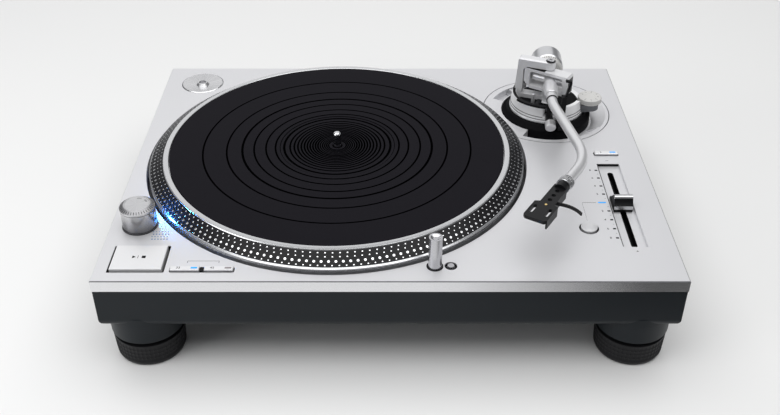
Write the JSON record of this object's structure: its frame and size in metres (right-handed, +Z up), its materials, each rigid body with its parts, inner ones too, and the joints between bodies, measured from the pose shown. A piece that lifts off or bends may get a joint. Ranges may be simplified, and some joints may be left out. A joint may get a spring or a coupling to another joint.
{
  "type": "direct-drive turntable",
  "caption": "Record player deck with a flat rectangular case on round feet, strobe platter, S-shaped tonearm, pitch slider and pop-up stylus light.",
  "frame": {"origin": "centre of the footprint on the floor, at the underside of the feet", "axes": "+X to the user's right along the front edge, +Y to the rear, +Z up"},
  "size_m": [0.453, 0.349, 0.1461],
  "materials": {
    "beige_plastic": "satin",
    "black_metal": "satin",
    "black_plastic": "matte",
    "board_green": "satin",
    "brass": "satin",
    "chrome": "polished",
    "dark_case": "matte",
    "die_cast": "satin",
    "foot_rubber": "matte",
    "magnet": "matte",
    "mat_rubber": "matte",
    "panel_aluminium": "brushed",
    "platter_metal": "turned",
    "silver_metal": "satin",
    "steel": "bright",
    "window_clear": "clear"
  },
  "bodies": {
    "case": {"top_plate": "panel_aluminium", "chassis": "die_cast", "cabinet": "dark_case", "case_screws": "steel", "arm_base_plate": "silver_metal", "bearing_housing": "steel", "bearing_bushes": "brass", "motor_stator": "board_green", "strobe_housing": "silver_metal", "strobe_window": "window_clear", "pitch_fader": "black_plastic", "signal_terminals": "brass", "power_inlet": "black_plastic", "hinge_sockets": "black_plastic", "power_supply": "board_green", "control_board": "board_green"},
    "platter": {"platter": "platter_metal", "platter_mat": "mat_rubber", "spindle": "steel", "rotor_magnet": "magnet"},
    "power_knob": {"power_knob": "silver_metal"},
    "start_button": {"start_button": "silver_metal"},
    "speed_button_33": {"speed_button_33": "silver_metal"},
    "speed_button_45": {"speed_button_45": "silver_metal"},
    "range_button": {"range_button": "silver_metal"},
    "reset_button": {"reset_button": "silver_metal"},
    "light_button": {"light_button": "silver_metal"},
    "light_tube": {"light_tube": "chrome"},
    "pitch_cap": {"pitch_cap": "black_plastic"},
    "adaptor": {"adaptor_45": "silver_metal"},
    "ground_nut": {"ground_nut": "brass"},
    "height_ring": {"height_ring": "black_metal"},
    "lock_lever": {"lock_lever": "silver_metal"},
    "riser": {"riser": "silver_metal", "bridge": "silver_metal", "pivot_screws": "steel", "skate_arm": "black_metal", "arm_rest": "black_plastic"},
    "gimbal": {"gimbal_ring": "silver_metal", "gimbal_pins": "steel"},
    "arm": {"arm_hub": "silver_metal", "arm_tube": "chrome"},
    "collar_nut": {"collar_nut": "chrome"},
    "headshell": {"headshell": "black_metal", "shell_connector": "brass"},
    "weight_sleeve": {"weight_sleeve": "black_plastic"},
    "counterweight": {"counterweight": "chrome"},
    "force_dial": {"force_dial": "beige_plastic"},
    "skate_knob": {"skate_knob": "beige_plastic"},
    "cue_lever": {"cue_lever": "silver_metal"},
    "lifter": {"lifter": "black_plastic"},
    "arm_clip": {"arm_clip": "black_plastic"},
    "foot_stud_front_left": {"foot_stud_front_left": "steel"},
    "foot_ring_front_left": {"foot_ring_front_left": "foot_rubber"},
    "foot_stud_rear_left": {"foot_stud_rear_left": "steel"},
    "foot_ring_rear_left": {"foot_ring_rear_left": "foot_rubber"},
    "foot_stud_front_right": {"foot_stud_front_right": "steel"},
    "foot_ring_front_right": {"foot_ring_front_right": "foot_rubber"},
    "foot_stud_rear_right": {"foot_stud_rear_right": "steel"},
    "foot_ring_rear_right": {"foot_ring_rear_right": "foot_rubber"}
  },
  "joints": [
    {"name": "platter_spin", "type": "hinge", "parent": "case", "child": "platter", "pos_m": [-0.0468, 0.0022, 0.099], "axis": [0, 0, -1], "continuous": true},
    {"name": "power_turn", "type": "hinge", "parent": "case", "child": "power_knob", "pos_m": [-0.2025, -0.1025, 0.106], "axis": [0, 0, 1], "range_deg": [-35, 0]},
    {"name": "start_button_press", "type": "slide", "parent": "case", "child": "start_button", "axis": [0, 0, -1], "range_m": [0, 0.001], "stiffness_N_per_m": 400, "springref_m": -0.002},
    {"name": "speed_button_33_press", "type": "slide", "parent": "case", "child": "speed_button_33", "axis": [0, 0, -1], "range_m": [0, 0.001], "stiffness_N_per_m": 400, "springref_m": -0.002},
    {"name": "speed_button_45_press", "type": "slide", "parent": "case", "child": "speed_button_45", "axis": [0, 0, -1], "range_m": [0, 0.001], "stiffness_N_per_m": 400, "springref_m": -0.002},
    {"name": "range_button_press", "type": "slide", "parent": "case", "child": "range_button", "axis": [0, 0, -1], "range_m": [0, 0.001], "stiffness_N_per_m": 400, "springref_m": -0.002},
    {"name": "reset_button_press", "type": "slide", "parent": "case", "child": "reset_button", "axis": [0, 0, -1], "range_m": [0, 0.001], "stiffness_N_per_m": 400, "springref_m": -0.002},
    {"name": "light_button_press", "type": "slide", "parent": "case", "child": "light_button", "axis": [0, 0, -1], "range_m": [0, 0.001], "stiffness_N_per_m": 400, "springref_m": -0.002},
    {"name": "light_tube_slide", "type": "slide", "parent": "case", "child": "light_tube", "axis": [0, 0, -1], "range_m": [0, 0.026]},
    {"name": "pitch_slide", "type": "slide", "parent": "case", "child": "pitch_cap", "axis": [0, 1, 0], "range_m": [-0.0495, 0.0495]},
    {"name": "adaptor_lift", "type": "slide", "parent": "case", "child": "adaptor", "axis": [0, 0, 1], "range_m": [0, 0.02]},
    {"name": "ground_nut_turn", "type": "hinge", "parent": "case", "child": "ground_nut", "pos_m": [0.079, 0.16, 0.0605], "axis": [0, 1, 0], "range_deg": [0, 720]},
    {"name": "foot_slide_front_left", "type": "slide", "parent": "case", "child": "foot_stud_front_left", "axis": [0, 0, 1], "range_m": [-0.00501, 0]},
    {"name": "foot_turn_front_left", "type": "hinge", "parent": "foot_stud_front_left", "child": "foot_ring_front_left", "pos_m": [-0.1965, -0.1445, 0.01], "axis": [0, 0, 1], "range_deg": [0, 1440]},
    {"name": "foot_slide_rear_left", "type": "slide", "parent": "case", "child": "foot_stud_rear_left", "axis": [0, 0, 1], "range_m": [-0.00501, 0]},
    {"name": "foot_turn_rear_left", "type": "hinge", "parent": "foot_stud_rear_left", "child": "foot_ring_rear_left", "pos_m": [-0.1965, 0.1445, 0.01], "axis": [0, 0, 1], "range_deg": [0, 1440]},
    {"name": "foot_slide_front_right", "type": "slide", "parent": "case", "child": "foot_stud_front_right", "axis": [0, 0, 1], "range_m": [-0.00501, 0]},
    {"name": "foot_turn_front_right", "type": "hinge", "parent": "foot_stud_front_right", "child": "foot_ring_front_right", "pos_m": [0.1965, -0.1445, 0.01], "axis": [0, 0, 1], "range_deg": [0, 1440]},
    {"name": "foot_slide_rear_right", "type": "slide", "parent": "case", "child": "foot_stud_rear_right", "axis": [0, 0, 1], "range_m": [-0.00501, 0]},
    {"name": "foot_turn_rear_right", "type": "hinge", "parent": "foot_stud_rear_right", "child": "foot_ring_rear_right", "pos_m": [0.1965, 0.1445, 0.01], "axis": [0, 0, 1], "range_deg": [0, 1440]},
    {"name": "height_turn", "type": "hinge", "parent": "case", "child": "height_ring", "pos_m": [0.1513, 0.0863, 0.088], "axis": [0, 0, 1], "range_deg": [0, 210]},
    {"name": "riser_lift", "type": "slide", "parent": "case", "child": "riser", "axis": [0, 0, 1], "range_m": [0, 0.006]},
    {"name": "height_lock", "type": "hinge", "parent": "case", "child": "lock_lever", "pos_m": [0.1513, 0.0863, 0.086], "axis": [0, 0, 1], "range_deg": [-2, 24]},
    {"name": "arm_swing", "type": "hinge", "parent": "riser", "child": "gimbal", "pos_m": [0.1513, 0.0863, 0.1238], "axis": [0, 0, -1], "range_deg": [0, 43]},
    {"name": "arm_lift", "type": "hinge", "parent": "gimbal", "child": "arm", "pos_m": [0.1513, 0.0863, 0.1238], "axis": [-0.8499, 0.527, 0], "range_deg": [0, 10]},
    {"name": "collar_turn", "type": "hinge", "parent": "arm", "child": "collar_nut", "pos_m": [0.13811, -0.09604, 0.1238], "axis": [-0.527, -0.8499, 0], "range_deg": [0, 90]},
    {"name": "shell_pull", "type": "slide", "parent": "arm", "child": "headshell", "axis": [-0.527, -0.8499, 0], "range_m": [0, 0.02]},
    {"name": "weight_move", "type": "slide", "parent": "arm", "child": "weight_sleeve", "axis": [0.0637, 0.998, 0], "range_m": [-0.00126, 0.00376]},
    {"name": "weight_turn", "type": "hinge", "parent": "weight_sleeve", "child": "counterweight", "pos_m": [0.1513, 0.0863, 0.1238], "axis": [0.0637, 0.998, 0], "range_deg": [-180, 540]},
    {"name": "force_dial_turn", "type": "hinge", "parent": "counterweight", "child": "force_dial", "pos_m": [0.1513, 0.0863, 0.1238], "axis": [0.0637, 0.998, 0], "range_deg": [-180, 180]},
    {"name": "skate_turn", "type": "hinge", "parent": "riser", "child": "skate_knob", "pos_m": [0.1905, 0.0782, 0.107], "axis": [0, 0, 1], "range_deg": [-20, 270]},
    {"name": "cue_turn", "type": "hinge", "parent": "riser", "child": "cue_lever", "pos_m": [0.1488, 0.0593, 0.105], "axis": [-1, 0, 0], "range_deg": [0, 25]},
    {"name": "lifter_slide", "type": "slide", "parent": "riser", "child": "lifter", "axis": [0, 0, 1], "range_m": [0, 0.0037]},
    {"name": "clip_turn", "type": "hinge", "parent": "riser", "child": "arm_clip", "pos_m": [0.1588, 0.0418, 0.128], "axis": [0, -1, 0], "range_deg": [0, 100]}
  ],
  "couplings": [
    {"joint": "foot_slide_front_left", "follows": "foot_turn_front_left", "m_per_rad": -0.00019894},
    {"joint": "foot_slide_rear_left", "follows": "foot_turn_rear_left", "m_per_rad": -0.00019894},
    {"joint": "foot_slide_front_right", "follows": "foot_turn_front_right", "m_per_rad": -0.00019894},
    {"joint": "foot_slide_rear_right", "follows": "foot_turn_rear_right", "m_per_rad": -0.00019894},
    {"joint": "riser_lift", "follows": "height_turn", "m_per_rad": 0.0016343},
    {"joint": "weight_move", "follows": "weight_turn", "m_per_rad": 0.00039789},
    {"joint": "lifter_slide", "follows": "cue_turn", "m_per_rad": 0.0084569}
  ]
}
